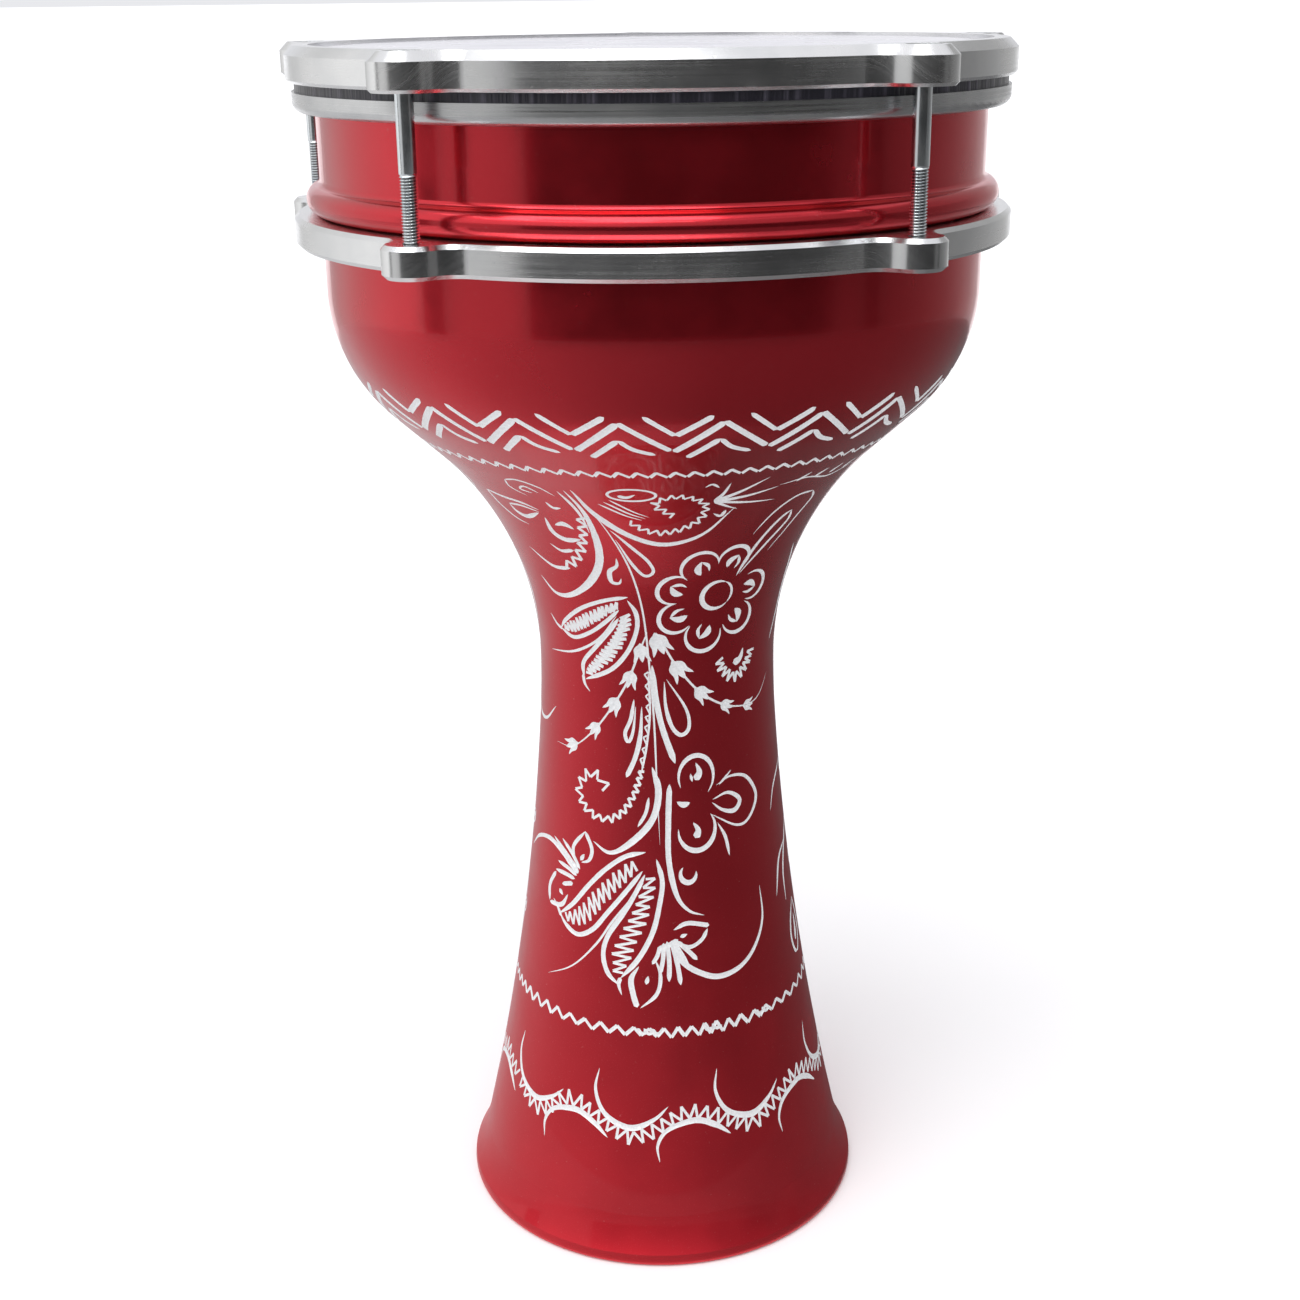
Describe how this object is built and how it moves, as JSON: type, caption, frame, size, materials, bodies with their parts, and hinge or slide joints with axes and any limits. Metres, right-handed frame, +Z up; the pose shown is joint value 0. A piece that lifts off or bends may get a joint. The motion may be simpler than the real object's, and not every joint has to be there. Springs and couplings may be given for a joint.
{
  "type": "goblet drum",
  "caption": "Goblet hand drum with a lacquered metal shell, a screw-tensioned plastic head between lobed metal rings, and an open flared foot.",
  "frame": {"origin": "centre of the foot's resting face, on the drum's axis", "axes": "+Z up along the drum's axis towards the head; one screw lobe points along +Y"},
  "size_m": [0.2356, 0.2336, 0.3964],
  "materials": {
    "red_lacquer": "high gloss lacquer",
    "drum_film": "smooth translucent film",
    "hoop_aluminium": "rolled, satin",
    "hoop_resin": "cast resin, uneven",
    "cast_aluminium": "cast and turned, satin",
    "zinc_steel": "bright zinc plate"
  },
  "bodies": {
    "drum": {"shell": "red_lacquer", "anchor_ring": "cast_aluminium"},
    "head": {"tension_ring": "cast_aluminium", "flesh_hoop": "hoop_aluminium", "hoop_resin": "hoop_resin", "head_film": "drum_film", "screw_washer_1": "zinc_steel", "screw_washer_2": "zinc_steel", "screw_washer_3": "zinc_steel", "screw_washer_4": "zinc_steel", "screw_washer_5": "zinc_steel"},
    "screw_1": {"tension_screw_1": "zinc_steel"},
    "screw_2": {"tension_screw_2": "zinc_steel"},
    "screw_3": {"tension_screw_3": "zinc_steel"},
    "screw_4": {"tension_screw_4": "zinc_steel"},
    "screw_5": {"tension_screw_5": "zinc_steel"}
  },
  "joints": [
    {"name": "tuning_travel", "type": "slide", "parent": "drum", "child": "head", "axis": [0, 0, 1], "range_m": [0, 0.004]},
    {"name": "screw_1_turn", "type": "hinge", "parent": "head", "child": "screw_1", "pos_m": [0, 0.114, 0.391], "axis": [0, 0, 1], "range_deg": [0, 1800]},
    {"name": "screw_2_turn", "type": "hinge", "parent": "head", "child": "screw_2", "pos_m": [-0.10842, 0.03523, 0.391], "axis": [0, 0, 1], "range_deg": [0, 1800]},
    {"name": "screw_3_turn", "type": "hinge", "parent": "head", "child": "screw_3", "pos_m": [-0.06701, -0.09223, 0.391], "axis": [0, 0, 1], "range_deg": [0, 1800]},
    {"name": "screw_4_turn", "type": "hinge", "parent": "head", "child": "screw_4", "pos_m": [0.06701, -0.09223, 0.391], "axis": [0, 0, 1], "range_deg": [0, 1800]},
    {"name": "screw_5_turn", "type": "hinge", "parent": "head", "child": "screw_5", "pos_m": [0.10842, 0.03523, 0.391], "axis": [0, 0, 1], "range_deg": [0, 1800]}
  ],
  "couplings": [
    {"joint": "screw_1_turn", "follows": "tuning_travel", "rad_per_m": 7854},
    {"joint": "screw_2_turn", "follows": "tuning_travel", "rad_per_m": 7854},
    {"joint": "screw_3_turn", "follows": "tuning_travel", "rad_per_m": 7854},
    {"joint": "screw_4_turn", "follows": "tuning_travel", "rad_per_m": 7854},
    {"joint": "screw_5_turn", "follows": "tuning_travel", "rad_per_m": 7854}
  ]
}
